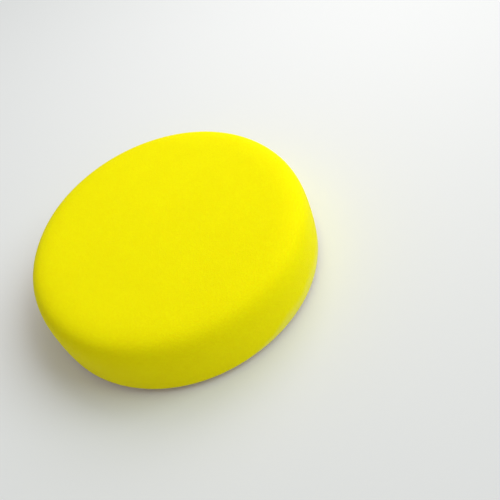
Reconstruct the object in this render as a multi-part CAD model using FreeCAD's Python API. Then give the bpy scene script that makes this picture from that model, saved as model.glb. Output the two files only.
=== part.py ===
import FreeCAD, Part
import math
import os

# A round foam pad for a polishing machine, lying on its hook-and-loop backing with the
# working face up. Millimetres. The origin is the centre of the loop face, and +Z runs
# along the pad's axis to the working face. From the bottom up, the layers are the loop
# pile, the knitted cloth that holds the loops, the binder on the back of that cloth, the
# hot-melt film and the foam.

foam_diameter = 150.0
overall_height = 37.5
cloth_diameter = 142.5

pile_height = 1.0
knit_thickness = 0.45
binder_thickness = 0.15
film_thickness = 0.4
film_squeeze_out = 0.35

# Pressing the film on hot leaves a slanting ledge round the back of the foam, and the
# ledge ends in a small rounded ridge at the foot of the side wall. From there the wall
# swells a little, to the full diameter where the rounded working edge begins.
ledge_height = 1.4
ridge_height = 1.0
ridge_inset = 0.6
wall_swell = 0.4

# The working edge is rounded. Fullness runs from 0.55, an ellipse, to 1, a sharp corner.
shoulder_width = 21.0
shoulder_height = 25.0
shoulder_fullness = 0.9

foam_radius = foam_diameter / 2
cloth_radius = cloth_diameter / 2
film_radius = cloth_radius + film_squeeze_out

knit_bottom = pile_height
binder_bottom = knit_bottom + knit_thickness
film_bottom = binder_bottom + binder_thickness
foam_bottom = film_bottom + film_thickness

up = FreeCAD.Vector(0, 0, 1)
axis_foot = FreeCAD.Vector(0, 0, 0)


def disc(radius, bottom, thickness):
    """A flat round layer centred on the axis."""
    return Part.makeCylinder(radius, thickness, FreeCAD.Vector(0, 0, bottom))


def at(radius, height):
    """A point of the section through the pad's axis."""
    return FreeCAD.Vector(radius, 0, height)


def loop_pile():
    return disc(cloth_radius, 0, pile_height)


def knit_cloth():
    return disc(cloth_radius, knit_bottom, knit_thickness)


def binder_coat():
    return disc(cloth_radius, binder_bottom, binder_thickness)


def bond_film():
    return disc(film_radius, film_bottom, film_thickness)


def shoulder(wall_top, face_edge):
    """The rounded working edge, which leaves the wall upright and meets the face level."""
    curve = Part.BezierCurve()
    curve.setPoles([
        wall_top,
        wall_top + up * shoulder_height * shoulder_fullness,
        face_edge + FreeCAD.Vector(shoulder_width * shoulder_fullness, 0, 0),
        face_edge,
    ])
    return curve.toShape()


def arc_to_upright(start, end):
    """An arc from start out and up to end, where it has turned upright."""
    outward = end.x - start.x
    upward = end.z - start.z
    radius = (outward**2 + upward**2) / (2 * outward)
    half_turn = math.asin(upward / radius) / 2
    middle = end - FreeCAD.Vector(
        radius * (1 - math.cos(half_turn)), 0, radius * math.sin(half_turn)
    )
    return Part.Arc(start, middle, end).toShape()


def foam_body():
    """The foam block: its section, turned round the axis."""
    back_centre = at(0, foam_bottom)
    back_edge = at(film_radius, foam_bottom)
    foot_radius = foam_radius - wall_swell
    ledge_end = at(foot_radius - ridge_inset, foam_bottom + ledge_height)
    wall_foot = at(foot_radius, foam_bottom + ledge_height + ridge_height)
    wall_top = at(foam_radius, overall_height - shoulder_height)
    face_edge = at(foam_radius - shoulder_width, overall_height)
    face_centre = at(0, overall_height)
    section = Part.Wire([
        Part.makeLine(back_centre, back_edge),
        Part.makeLine(back_edge, ledge_end),
        arc_to_upright(ledge_end, wall_foot),
        arc_to_upright(wall_foot, wall_top),
        shoulder(wall_top, face_edge),
        Part.makeLine(face_edge, face_centre),
        Part.makeLine(face_centre, back_centre),
    ])
    return Part.Face(section).revolve(axis_foot, up, 360)


nodes = {
    "loop_pile": loop_pile,
    "knit_cloth": knit_cloth,
    "binder_coat": binder_coat,
    "bond_film": bond_film,
    "foam_body": foam_body,
}

os.makedirs("parts", exist_ok=True)
for name, make in nodes.items():
    shape = make()
    shape.exportStep("parts/" + name + ".step")
    box = shape.BoundBox
    print(name, shape.ShapeType, shape.isValid(), "volume", round(shape.Volume, 1),
          "z", round(box.ZMin, 3), round(box.ZMax, 3), "width", round(box.XLength, 3))
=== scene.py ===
import math
import random

import bpy
from mathutils import Matrix, Vector, noise


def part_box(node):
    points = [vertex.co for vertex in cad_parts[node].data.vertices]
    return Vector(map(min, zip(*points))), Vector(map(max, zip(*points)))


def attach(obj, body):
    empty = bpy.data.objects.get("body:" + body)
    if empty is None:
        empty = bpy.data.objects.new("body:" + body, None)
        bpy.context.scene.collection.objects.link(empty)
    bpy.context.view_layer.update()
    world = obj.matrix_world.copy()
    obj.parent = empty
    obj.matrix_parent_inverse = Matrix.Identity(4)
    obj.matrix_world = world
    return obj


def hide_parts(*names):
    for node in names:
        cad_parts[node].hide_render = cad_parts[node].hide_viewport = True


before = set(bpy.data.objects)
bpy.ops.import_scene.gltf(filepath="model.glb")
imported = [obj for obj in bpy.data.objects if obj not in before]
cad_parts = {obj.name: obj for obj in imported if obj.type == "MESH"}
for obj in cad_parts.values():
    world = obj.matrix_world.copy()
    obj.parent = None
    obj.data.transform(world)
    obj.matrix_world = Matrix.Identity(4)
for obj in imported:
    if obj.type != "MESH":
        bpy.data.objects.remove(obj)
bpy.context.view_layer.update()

# A round foam polishing pad, lying on its loop cloth with the working face up. Metres.
# The layers' places and widths come from the frame. What the frame doesn't say, such as
# how the foam's edges run and how fine its cells are, is named here.

MM = 0.001

foam_low, foam_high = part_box("foam_body")
pile_low, pile_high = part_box("loop_pile")
foam_radius = foam_high.x
film_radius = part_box("bond_film")[1].x
cloth_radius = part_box("knit_cloth")[1].x

# The foam's section. A pull is where a bend's handle lies, in shares of its width and
# height.
ledge_height = 1.4 * MM
ridge_height = 1.0 * MM
ridge_inset = 0.6 * MM
ridge_first_pull = (0.25, 0.15)
ridge_second_pull = 0.5
wall_swell = 0.4 * MM
wall_first_pull = (0.6, 0.3)
wall_second_pull = 0.7
shoulder_width = 21.0 * MM
shoulder_height = 25.0 * MM
shoulder_fullness = 0.9
ridge_top = foam_low.z + ledge_height + ridge_height

foam_spacing = 0.75 * MM
edge_spacing = 0.35 * MM
hidden_foam_spacing = 3.0 * MM

# The cut foam's unevenness: how deep it is, and how far apart its swells are. The mesh
# holds a grain two cells wide, and the material shows the cells. A shift keeps one noise
# from repeating another.
foam_cell = 0.45 * MM
skin_relief = 0.035 * MM
skin_size = 0.99 * MM
dent_relief = 0.03 * MM
dent_size = 7 * MM
dent_shift = Vector((1, 2, 3))
sway_relief = 0.14 * MM
sway_size = 38 * MM
facing_down = -0.99

# The foam's foot is painted brown: glue soaked into it, and painted shade under the backing's
# edge and at the foot. Above the brown it is painted pale: partly its paler cut fuzz, partly a
# painted highlight along the edge. On one side a painted pale reflection of light goes further
# up. The reflection starts and is full at shares of the foam's radius towards that side, and it
# is patchy.
stain_shade_low = 0.5 * MM
stain_shade_high = 2.7 * MM
pale_height = 0.9 * MM
pale_strength = 0.9
pale_fade = 2.0
reflection_way = math.radians(-30)
reflection_side = Vector((math.cos(reflection_way), math.sin(reflection_way), 0))
reflection_start = 0.55
reflection_full = 0.92
reflection_height = 11.0 * MM
reflection_solid_share = 0.2
reflection_patch_size = 11 * MM
reflection_patch_least = 0.8
reflection_patch_most = 1.2

# The thin layers' rims: how round they are, how deep they waver and over what length.
film_rounding = 0.2 * MM
film_waver = (0.16 * MM, 2.6 * MM)
binder_rounding = 0.07 * MM
binder_waver = (0.05 * MM, 1.6 * MM)
knit_rounding = 0.12 * MM
knit_waver = (0.05 * MM, 0.9 * MM)
rim_spacing = 0.12 * MM
layer_spacing = 0.6 * MM
hidden_spacing = 6 * MM
course_pitch = 0.55 * MM

# The matted part of the pile.
bed_depth = 0.42 * MM
bed_rounding = 0.3 * MM
bed_spacing = 0.7 * MM
bed_relief = 0.05 * MM
bed_sink = 0.8
tuft_size = 1.5 * MM
bump_size = 6 * MM
bump_share = 0.6
bump_shift = Vector((4, 5, 6))
facing_up = 0.5

# The free loops. A jitter is a share of the space between two loops.
loop_pitch = 1.78 * MM
loop_jitter = (0.35, 0.3)
loop_margin = 0.4 * MM
loop_lift = 0.02 * MM
loop_clearance = 0.01 * MM
loop_width = (0.6 * MM, 1.2 * MM)
loop_height = (0.22 * MM, 0.36 * MM)
loop_lean = (10, 60)
loop_swell = 0.3
loop_thickness = 0.08 * MM
loop_runs = 5
loop_sides = 3
rim_loop_pitch = 1.1 * MM
rim_loop_jitter = 0.3
rim_loop_rise = (0.05 * MM, 0.35 * MM)
rim_loop_inset = 0.08 * MM
RIM_SHARE = 0.6
SPARE_COLUMNS = 4
SEED = 7
ROW_STEP = 0.866


# ---------------------------------------------------------------- mesh building


def stretch(curve, spacing):
    """Points along curve(t), t from 0 to 1, about spacing apart, without the last one."""
    steps = 64
    fine = [curve(i / steps) for i in range(steps + 1)]
    length = sum(math.dist(a, b) for a, b in zip(fine, fine[1:]))
    count = max(1, round(length / spacing))
    return [curve(i / count) for i in range(count)]


def straight(a, b):
    return lambda t: (a[0] + (b[0] - a[0]) * t, a[1] + (b[1] - a[1]) * t)


def bezier(a, b, c, d):
    def curve(t):
        s = 1 - t
        weights = (s**3, 3 * s * s * t, 3 * s * t * t, t**3)
        return tuple(sum(w * p[k] for w, p in zip(weights, (a, b, c, d))) for k in (0, 1))
    return curve


def stitch(faces, inner, outer):
    """Triangles between two rings of points, each ring given as (first point, count)."""
    inner_first, inner_count = inner
    outer_first, outer_count = outer
    i = j = 0
    while i < inner_count or j < outer_count:
        inner_point = inner_first + i % inner_count
        outer_point = outer_first + j % outer_count
        inner_is_next = (i + 1) * outer_count <= (j + 1) * inner_count
        if j >= outer_count or (i < inner_count and inner_is_next):
            i += 1
            faces.append((inner_point, inner_first + i % inner_count, outer_point))
        else:
            j += 1
            faces.append((inner_point, outer_first + j % outer_count, outer_point))


def make_piece(name, points, faces, material):
    """A smoothly shaded object in the scene."""
    mesh = bpy.data.meshes.new(name)
    mesh.from_pydata([tuple(p) for p in points], [], faces)
    mesh.polygons.foreach_set("use_smooth", [True] * len(mesh.polygons))
    mesh.update()
    mesh.materials.append(material)
    piece = bpy.data.objects.new(name, mesh)
    bpy.context.scene.collection.objects.link(piece)
    return piece


def turned(name, outline, spacing, relief, material):
    """A closed piece turned about the axis. outline runs from the axis below to the axis
    above. relief(place, outward) says how far to move a point out along its normal."""
    on_axis = 1e-9
    fewest = 6
    points, faces, rings = [], [], []
    for k, (radius, height) in enumerate(outline):
        before = outline[max(k - 1, 0)]
        after = outline[min(k + 1, len(outline) - 1)]
        run = Vector((after[1] - before[1], before[0] - after[0])).normalized()
        count = 1 if radius < on_axis else max(fewest, round(math.tau * radius / spacing))
        half_step = 0.5 * (k % 2)
        rings.append((len(points), count))
        for i in range(count):
            angle = math.tau * (i + half_step) / count
            across = Vector((math.cos(angle), math.sin(angle), 0))
            outward = across * run[0] + Vector((0, 0, run[1]))
            place = across * radius + Vector((0, 0, height))
            points.append(place + outward * relief(place, outward))
    for below, above in zip(rings, rings[1:]):
        stitch(faces, below, above)
    return make_piece(name, points, faces, material)


def wave(place, size):
    """Smooth noise from -1 to 1, whose swells are about size across."""
    return noise.noise(place / size)


def grain(place, size):
    """Noise from about -1 at the middle of each cell to 1 far from it."""
    return 2 * noise.voronoi(place / size)[0][0] - 1


# ---------------------------------------------------------------- foam


def foam_outline():
    """The foam's section, from the middle of its back out and round to the face."""
    foot_radius = foam_radius - wall_swell
    back_edge = (film_radius, foam_low.z)
    ledge_end = (foot_radius - ridge_inset, foam_low.z + ledge_height)
    wall_foot = (foot_radius, ledge_end[1] + ridge_height)
    wall_top = (foam_radius, foam_high.z - shoulder_height)
    wall_height = wall_top[1] - wall_foot[1]
    face_edge = (foam_radius - shoulder_width, foam_high.z)
    ridge = bezier(
        ledge_end,
        (
            foot_radius - ridge_first_pull[0] * ridge_inset,
            ledge_end[1] + ridge_first_pull[1] * ridge_height,
        ),
        (foot_radius, ledge_end[1] + ridge_second_pull * ridge_height),
        wall_foot,
    )
    wall = bezier(
        wall_foot,
        (
            foot_radius + wall_first_pull[0] * wall_swell,
            wall_foot[1] + wall_first_pull[1] * wall_height,
        ),
        (foam_radius, wall_foot[1] + wall_second_pull * wall_height),
        wall_top,
    )
    shoulder = bezier(
        wall_top,
        (foam_radius, wall_top[1] + shoulder_fullness * shoulder_height),
        (face_edge[0] + shoulder_fullness * shoulder_width, foam_high.z),
        face_edge,
    )
    return (
        stretch(straight((0, foam_low.z), back_edge), hidden_foam_spacing)
        + stretch(straight(back_edge, ledge_end), edge_spacing)
        + stretch(ridge, edge_spacing)
        + stretch(wall, foam_spacing)
        + stretch(shoulder, foam_spacing)
        + stretch(straight(face_edge, (0, foam_high.z)), foam_spacing)
        + [(0, foam_high.z)]
    )


def foam_relief(place, outward):
    """The cut foam's unevenness: a slow sway, soft dents and the grain of its cells."""
    if outward.z < facing_down:
        return 0
    return (
        sway_relief * wave(place, sway_size)
        + dent_relief * wave(place + dent_shift, dent_size)
        - skin_relief * grain(place, skin_size)
    )


def build_foam():
    foam = turned("foam_block", foam_outline(), foam_spacing, foam_relief, foam_material())
    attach(foam, "root")
    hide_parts("foam_body")


# ---------------------------------------------------------------- loop backing


def disc_outline(radius, low, high, rounding, spacings):
    """A flat disc's section with a rounded rim, from the middle below to the middle above.
    spacings are those below, at the rim and above."""
    half = (low + high) / 2
    flat = radius - rounding
    below, rim, above = spacings
    return (
        stretch(straight((0, low), (flat, low)), below)
        + stretch(bezier((flat, low), (radius, low), (radius, low), (radius, half)), rim)
        + stretch(bezier((radius, half), (radius, high), (radius, high), (flat, high)), rim)
        + stretch(straight((flat, high), (0, high)), above)
        + [(0, high)]
    )


def build_layer(name, node, material, rounding, waver):
    """A thin hidden layer of the backing, which shows at its wavering rim."""
    low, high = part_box(node)
    depth, size = waver
    spacings = (hidden_spacing, rim_spacing, hidden_spacing)
    outline = disc_outline(high.x, low.z, high.z, rounding, spacings)

    def rim_relief(place, outward):
        return depth * wave(place, size) * max(0, 1 - abs(outward.z))

    layer = turned(name, outline, layer_spacing, rim_relief, material)
    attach(layer, "root")
    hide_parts(node)
    return layer


def bed_relief_at(place, outward):
    """The matted loops: bumps over the pile's under side and its rim."""
    if outward.z > facing_up:
        return 0
    bumps = wave(place, tuft_size) + bump_share * wave(place + bump_shift, bump_size)
    return bed_relief * (bumps - bed_sink)


def build_bed():
    """The matted part of the pile, which the free loops stand on."""
    spacings = (bed_spacing, rim_spacing, hidden_spacing)
    low = pile_low.z + bed_depth
    outline = disc_outline(cloth_radius, low, pile_high.z, bed_rounding, spacings)
    bed = turned("loop_pile_bed", outline, bed_spacing, bed_relief_at, loop_material())
    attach(bed, "root")
    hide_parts("loop_pile")
    return bed


def loop_feet(rng):
    """Jittered rows of feet over the disc, and one row round its rim. Each foot is a place
    and the way out of the cloth there."""
    down = Vector((0, 0, -1))
    level = pile_low.z + bed_depth + loop_lift
    along, between = loop_jitter
    rows = int(cloth_radius / (loop_pitch * ROW_STEP)) + 1
    columns = rows + SPARE_COLUMNS
    for row in range(-rows, rows + 1):
        for column in range(-columns, columns + 1):
            x = (column + 0.5 * (row % 2) + rng.uniform(-along, along)) * loop_pitch
            y = (row * ROW_STEP + rng.uniform(-between, between)) * loop_pitch
            if math.hypot(x, y) < cloth_radius - loop_margin:
                yield Vector((x, y, level)), down
    count = round(math.tau * cloth_radius / rim_loop_pitch)
    for i in range(count):
        angle = math.tau * (i + rng.uniform(-rim_loop_jitter, rim_loop_jitter)) / count
        across = Vector((math.cos(angle), math.sin(angle), 0))
        height = level + rng.uniform(*rim_loop_rise)
        yield across * (cloth_radius - rim_loop_inset) + Vector((0, 0, height)), across


def tube_faces(first):
    """The sides and the two ends of a loop's tube, whose points begin at first."""
    faces = []
    last = first + loop_runs * loop_sides
    for ring in range(first, last, loop_sides):
        for k in range(loop_sides):
            here = ring + k
            beside = ring + (k + 1) % loop_sides
            faces.append((here, beside, beside + loop_sides, here + loop_sides))
    faces.append(tuple(first + k for k in reversed(range(loop_sides))))
    faces.append(tuple(last + k for k in range(loop_sides)))
    return faces


def add_loop(points, faces, rng, foot, out):
    """One loop of yarn, which leans over on the cloth. Its ends are inside the bed."""
    yaw = rng.uniform(0, math.tau)
    lean = math.radians(rng.uniform(*loop_lean))
    half_width = rng.uniform(*loop_width) / 2
    height = rng.uniform(*loop_height) / math.sqrt(math.cos(lean))
    if out.z == 0:
        height *= RIM_SHARE
    first_side = out.orthogonal().normalized()
    along = first_side * math.cos(yaw) + out.cross(first_side) * math.sin(yaw)
    up = out * math.cos(lean) + out.cross(along) * math.sin(lean)
    normal = along.cross(up)
    first = len(points)
    for i in range(loop_runs + 1):
        turn = math.pi * i / loop_runs
        across = math.cos(turn)
        rise = math.sin(turn)
        swell = 1 + loop_swell * rise
        middle = foot + along * (half_width * across * swell) + up * (height * rise)
        outward = (along * (across / half_width) + up * (rise / height)).normalized()
        for k in range(loop_sides):
            angle = math.tau * k / loop_sides
            side = outward * math.cos(angle) + normal * math.sin(angle)
            points.append(middle + side * (loop_thickness / 2))
    faces.extend(tube_faces(first))


def build_loops():
    rng = random.Random(SEED)
    points, faces = [], []
    for foot, out in loop_feet(rng):
        add_loop(points, faces, rng, foot, out)
    lowest = pile_low.z + loop_clearance
    for p in points:
        p.z = max(p.z, lowest)
    loops = make_piece("free_loops", points, faces, loop_material())
    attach(loops, "root")
    return loops


def build_backing():
    build_layer(
        "hot_melt_bead", "bond_film", hot_melt_material(), film_rounding, film_waver
    )
    build_layer(
        "latex_coat", "binder_coat", binder_material(), binder_rounding, binder_waver
    )
    knit = build_layer(
        "knit_ground", "knit_cloth", knit_material(), knit_rounding, knit_waver
    )
    pile = [build_bed(), build_loops()]


# ---------------------------------------------------------------- materials


class Nodes:
    """One material's node tree, with short calls for what the materials here need."""

    def __init__(self, name):
        self.material = bpy.data.materials.new(name)
        self.material.use_nodes = True
        self.tree = self.material.node_tree
        self.shader = self.tree.nodes["Principled BSDF"]

    def add(self, kind, inputs=None, **settings):
        node = self.tree.nodes.new(kind)
        for key, value in settings.items():
            setattr(node, key, value)
        for key, value in (inputs or {}).items():
            self.feed(node.inputs[key], value)
        return node

    def feed(self, socket, value):
        """Joins an output to socket, or sets the socket to a plain value."""
        if isinstance(value, bpy.types.NodeSocket):
            self.tree.links.new(value, socket)
        else:
            socket.default_value = value

    def set(self, **values):
        for key, value in values.items():
            self.feed(self.shader.inputs[key.replace("_", " ")], value)

    def here(self):
        return self.add("ShaderNodeTexCoord").outputs["Object"]

    def parts_of(self, place):
        """The x, y and z outputs of a place."""
        return self.add("ShaderNodeSeparateXYZ", {0: place}).outputs

    def math(self, operation, a, b=0.0):
        return self.add("ShaderNodeMath", {0: a, 1: b}, operation=operation).outputs[0]

    def vector_math(self, operation, a, b=(0.0, 0.0, 0.0)):
        return self.add("ShaderNodeVectorMath", {0: a, 1: b}, operation=operation).outputs

    def ramp(self, value, low, high, start=0.0, end=1.0):
        """value, from low to high, eased to run from start to end."""
        node = self.add(
            "ShaderNodeMapRange",
            {0: value, 1: low, 2: high, 3: start, 4: end},
            interpolation_type="SMOOTHSTEP",
        )
        return node.outputs[0]

    def mix(self, share, a, b):
        node = self.add("ShaderNodeMix", data_type="RGBA")
        for socket, value in ((0, share), (6, a), (7, b)):
            self.feed(node.inputs[socket], value)
        return node.outputs[2]

    def noise(self, place, size, detail=3.0):
        node = self.add(
            "ShaderNodeTexNoise", {"Vector": place, "Scale": 1 / size, "Detail": detail}
        )
        return node.outputs[0]

    def patches(self, place, size, detail=3.0, start=0.0, end=1.0):
        """Noise spread to run from start to end. Plain noise seldom leaves 0.3 to 0.7."""
        return self.ramp(self.noise(place, size, detail), low=0.3, high=0.7, start=start, end=end)

    def cells(self, place, size):
        node = self.add("ShaderNodeTexVoronoi", {"Vector": place, "Scale": 1 / size})
        return node.outputs["Distance"]

    def bump(self, height, distance, strength):
        node = self.add(
            "ShaderNodeBump", {"Height": height, "Distance": distance, "Strength": strength}
        )
        return node.outputs[0]


def foam_material():
    """Bright yellow open-cell foam. Its cells' pits are painted darker as shade. Its foot is
    painted brown, partly as glue soaked into it and partly as shade under the backing's edge.
    Above that it is painted pale, partly as its paler cut fuzz and partly as a highlight, and on
    one side a painted pale reflection of light goes further up.
    """
    bright_yellow = (0.94, 0.855, 0.002, 1)
    deep_yellow = (0.925, 0.835, 0.002, 1)
    pit_shade_yellow = (0.80, 0.62, 0.001, 1)
    pale_fuzz_and_light_yellow = (0.86, 0.80, 0.085, 1)
    glue_and_shade_brown = (0.60, 0.38, 0.05, 1)
    pit_shade_share = 0.35
    pit_middle = 0.2
    pit_rim = 0.65
    ragged_depth = 0.5 * MM

    nodes = Nodes("yellow_open_cell_foam")
    here = nodes.here()
    ragged = nodes.math("MULTIPLY", nodes.noise(here, size=1.2 * MM), ragged_depth)
    height = nodes.math("ADD", nodes.parts_of(here)[2], ragged)
    cells = nodes.cells(here, foam_cell)
    pit = nodes.ramp(cells, pit_middle, pit_rim, start=1.0, end=0.0)
    light = nodes.mix(nodes.patches(here, size=16 * MM), bright_yellow, deep_yellow)
    # Painted shade: the cells' pits are darker.
    cut_with_pit_shade = nodes.mix(nodes.math("MULTIPLY", pit, pit_shade_share), light, pit_shade_yellow)

    # Painted reflection: on one side a pale band of reflected light goes further up the wall, in
    # patches.
    side = nodes.vector_math("DOT_PRODUCT", here, reflection_side)["Value"]
    even = nodes.ramp(side, reflection_start * foam_radius, reflection_full * foam_radius, end=reflection_height)
    patch = nodes.patches(here, reflection_patch_size, start=reflection_patch_least, end=reflection_patch_most)
    reflection = nodes.math("MULTIPLY", even, patch)
    # Above the brown the foam is painted pale: partly its paler cut fuzz, partly a painted
    # highlight along the edge.
    pale_top = nodes.math("ADD", reflection, ridge_top + pale_height)
    pale_foot = nodes.math("ADD", nodes.math("MULTIPLY", reflection, reflection_solid_share), ridge_top)
    faded = nodes.ramp(height, pale_foot, pale_top, start=1.0, end=0.0)
    pale = nodes.math("MULTIPLY", nodes.math("POWER", faded, pale_fade), pale_strength)
    with_pale_fuzz_and_light = nodes.mix(pale, cut_with_pit_shade, pale_fuzz_and_light_yellow)
    # Painted brown at the foot: glue soaked into the foam, and painted shade under the backing's
    # edge and at the foot.
    stain_shade_foot = foam_low.z + stain_shade_low
    stain_shade_top = foam_low.z + stain_shade_high
    stained_and_shaded = nodes.ramp(height, stain_shade_foot, stain_shade_top, start=1.0, end=0.0)

    skin = nodes.math("ADD", nodes.math("MULTIPLY", pit, -1.0), nodes.noise(here, size=0.25 * MM))
    nodes.set(
        Base_Color=nodes.mix(stained_and_shaded, with_pale_fuzz_and_light, glue_and_shade_brown),
        Roughness=nodes.ramp(pit, low=0, high=1, start=0.86, end=1.0),
        Normal=nodes.bump(skin, distance=0.12 * MM, strength=0.5),
        Specular_IOR_Level=0.03,
        Subsurface_Weight=0.25,
        Subsurface_Radius=(1.0, 0.8, 0.02),
        Subsurface_Scale=1.5 * MM,
        Sheen_Weight=0.15,
        Sheen_Roughness=0.22,
        Sheen_Tint=(1.0, 0.97, 0.6, 1),
    )
    return nodes.material


def hot_melt_material():
    """Orange-brown hot melt, paler where it is thin."""
    thin_amber = (0.50, 0.31, 0.06, 1)
    thick_brown = (0.36, 0.20, 0.035, 1)

    nodes = Nodes("orange_brown_hot_melt")
    here = nodes.here()
    nodes.set(
        Base_Color=nodes.mix(nodes.patches(here, size=1.8 * MM), thin_amber, thick_brown),
        Roughness=nodes.patches(here, size=0.8 * MM, start=0.38, end=0.6),
        Normal=nodes.bump(nodes.noise(here, size=0.5 * MM), distance=0.08 * MM, strength=0.5),
        Specular_IOR_Level=0.4,
        Subsurface_Weight=0.15,
        Subsurface_Radius=(1.0, 0.5, 0.1),
        Subsurface_Scale=0.4 * MM,
    )
    return nodes.material


def binder_material():
    """Tan latex binder, darker where it soaked in."""
    dry_tan = (0.50, 0.37, 0.29, 1)
    soaked_tan = (0.40, 0.29, 0.22, 1)

    nodes = Nodes("tan_latex_binder")
    here = nodes.here()
    soaked = nodes.patches(here, size=1.1 * MM)
    nodes.set(
        Base_Color=nodes.mix(soaked, dry_tan, soaked_tan),
        Roughness=nodes.ramp(soaked, low=0, high=1, start=0.65, end=0.8),
        Normal=nodes.bump(nodes.noise(here, size=0.3 * MM), distance=0.05 * MM, strength=0.5),
        Specular_IOR_Level=0.3,
    )
    return nodes.material


def knit_material():
    """White nylon knit, whose courses and wales show on the cut edge as fine ribs. It is painted
    lighter than the loops, as a highlight on the cut edge, and darker in the valleys between its
    ribs, as shade.
    """
    shaded_valley_white = (0.86, 0.845, 0.85, 1)
    lit_rib_white = (0.93, 0.915, 0.92, 1)

    nodes = Nodes("white_nylon_knit")
    here = nodes.here()
    parts = nodes.parts_of(here)
    ribs = [
        nodes.math("SINE", nodes.math("MULTIPLY", parts[k], math.tau / course_pitch))
        for k in (0, 1)
    ]
    weave = nodes.math("MULTIPLY", *ribs)
    yarn = nodes.math("ADD", weave, nodes.noise(here, size=0.2 * MM))
    nodes.set(
        # Painted highlight on the ribs and painted shade in the valleys between them.
        Base_Color=nodes.mix(nodes.ramp(weave, low=-1, high=1), shaded_valley_white, lit_rib_white),
        Roughness=nodes.ramp(weave, low=-1, high=1, start=0.95, end=0.8),
        Normal=nodes.bump(yarn, distance=0.08 * MM, strength=0.6),
        Specular_IOR_Level=0.2,
        Sheen_Weight=0.25,
        Sheen_Roughness=0.4,
    )
    return nodes.material


def loop_material():
    """Brushed white nylon loops: matted tufts with fine strands, slightly pink, and painted
    lighter towards the rim as a highlight on the edge.
    """
    warm_white = (0.83, 0.783, 0.788, 1)
    cool_white = (0.80, 0.75, 0.755, 1)
    rim_highlight_white = (0.93, 0.91, 0.92, 1)
    tuft_grey = (0.70, 0.655, 0.66, 1)
    tuft_share = 0.35
    strand_share = 0.7
    rim_start = cloth_radius - 0.9 * MM
    rim_end = cloth_radius - 0.3 * MM

    nodes = Nodes("white_nylon_loops")
    here = nodes.here()
    tuft = nodes.patches(here, size=0.9 * MM, detail=4)
    white = nodes.mix(nodes.patches(here, size=14 * MM), warm_white, cool_white)
    flat = nodes.vector_math("MULTIPLY", here, (1, 1, 0))[0]
    reach = nodes.vector_math("LENGTH", flat)["Value"]
    # Painted highlight: the loops are lighter near the cloth's rim, where the edge catches light.
    rim_lit = nodes.mix(nodes.ramp(reach, rim_start, rim_end), white, rim_highlight_white)
    shade = nodes.mix(nodes.math("MULTIPLY", tuft, tuft_share), rim_lit, tuft_grey)
    strand = nodes.math("MULTIPLY", nodes.cells(here, size=0.35 * MM), strand_share)
    nodes.set(
        Base_Color=shade,
        Roughness=nodes.ramp(tuft, low=0, high=1, start=0.85, end=1.0),
        Normal=nodes.bump(nodes.math("ADD", tuft, strand), distance=0.12 * MM, strength=0.45),
        Specular_IOR_Level=0.15,
        Subsurface_Weight=0.1,
        Subsurface_Radius=(1.0, 0.95, 0.95),
        Subsurface_Scale=0.5 * MM,
        Sheen_Weight=0.3,
        Sheen_Roughness=0.45,
    )
    return nodes.material


# ---------------------------------------------------------------- stage, light, camera


def stage():
    """A wide pale floor."""
    half = 20.0
    corners = [(-half, -half, 0), (half, -half, 0), (half, half, 0), (-half, half, 0)]
    mesh = bpy.data.meshes.new("floor")
    mesh.from_pydata(corners, [], [(0, 1, 2, 3)])
    floor = bpy.data.objects.new("floor", mesh)
    bpy.context.scene.collection.objects.link(floor)
    nodes = Nodes("pale_floor")
    nodes.set(Base_Color=(0.8, 0.8, 0.8, 1), Roughness=0.9, Specular_IOR_Level=0.1)
    mesh.materials.append(nodes.material)


def lamp(name, kind, towards, distance, power, colour):
    """A light aimed at the pad. towards is the way from the pad to the light."""
    data = bpy.data.lights.new(name, kind)
    data.energy = power
    data.color = colour
    light = bpy.data.objects.new(name, data)
    bpy.context.scene.collection.objects.link(light)
    place = Vector(towards).normalized() * distance
    light.location = place
    light.rotation_euler = (-place).to_track_quat("-Z", "Y").to_euler()
    return data


def light_up():
    """Soft white surroundings, a soft key light over the pad and a wide sun from the right."""
    world = bpy.data.worlds.new("soft_white")
    world.use_nodes = True
    background = world.node_tree.nodes["Background"]
    background.inputs["Color"].default_value = (1, 0.97, 0.965, 1)
    background.inputs["Strength"].default_value = 0.433
    bpy.context.scene.world = world
    key = lamp(
        "key",
        "AREA",
        towards=(0.5, 0.3, 0.75),
        distance=0.5,
        power=1.14,
        colour=(1, 0.975, 0.975),
    )
    key.size = 0.4
    side = lamp(
        "side",
        "SUN",
        towards=(0.698, -0.254, 0.669),
        distance=1.0,
        power=1.35,
        colour=(0.87, 1, 0.98),
    )
    side.angle = math.radians(40)
    bpy.context.scene.view_settings.view_transform = "Standard"


def place_camera():
    """The camera looks down at the pad at about 49 degrees and is rolled to the right. Its
    place and aim are given in foam radii."""
    data = bpy.data.cameras.new("camera")
    data.lens = 51.2
    data.sensor_width = 36
    data.clip_start = 0.01
    camera = bpy.data.objects.new("camera", data)
    bpy.context.scene.collection.objects.link(camera)
    place = Vector((0, -3.504, 3.837)) * foam_radius
    aim = Vector((0.443, -0.369, 0.250)) * foam_radius
    roll = Matrix.Rotation(math.radians(-22.88), 4, "Z")
    turn = (aim - place).to_track_quat("-Z", "Y").to_matrix().to_4x4()
    camera.matrix_world = Matrix.Translation(place) @ turn @ roll
    bpy.context.scene.camera = camera


place_camera()
light_up()
stage()
build_foam()
build_backing()
